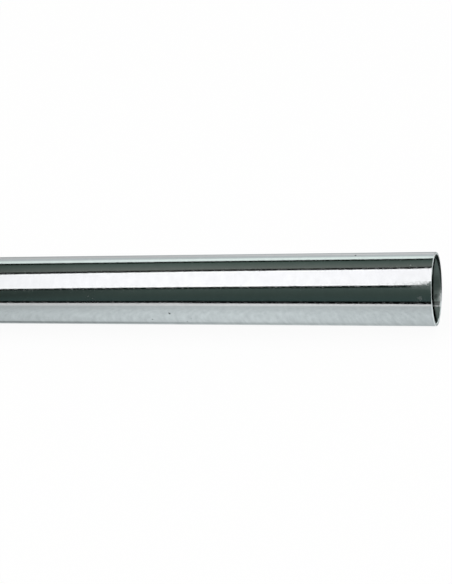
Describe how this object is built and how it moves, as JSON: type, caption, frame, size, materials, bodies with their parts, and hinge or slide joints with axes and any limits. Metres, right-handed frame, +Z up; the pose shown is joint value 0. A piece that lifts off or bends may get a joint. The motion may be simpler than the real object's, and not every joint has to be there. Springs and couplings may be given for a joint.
{
  "type": "stainless steel tube",
  "caption": "Length of thin-walled round stainless steel tube, polished outside, with square cut open ends and a low weld bead along the bore.",
  "frame": {"origin": "on the plane the tube lies on, below the middle of its length and below its axis", "axes": "+X along the tube's axis, +Z up; the weld bead in the bore faces 20 degrees from straight down, towards +Y"},
  "size_m": [1, 0.025, 0.025],
  "materials": {
    "polished_stainless_steel": "polished"
  },
  "bodies": {
    "root": {"tube": "polished_stainless_steel"}
  },
  "joints": []
}
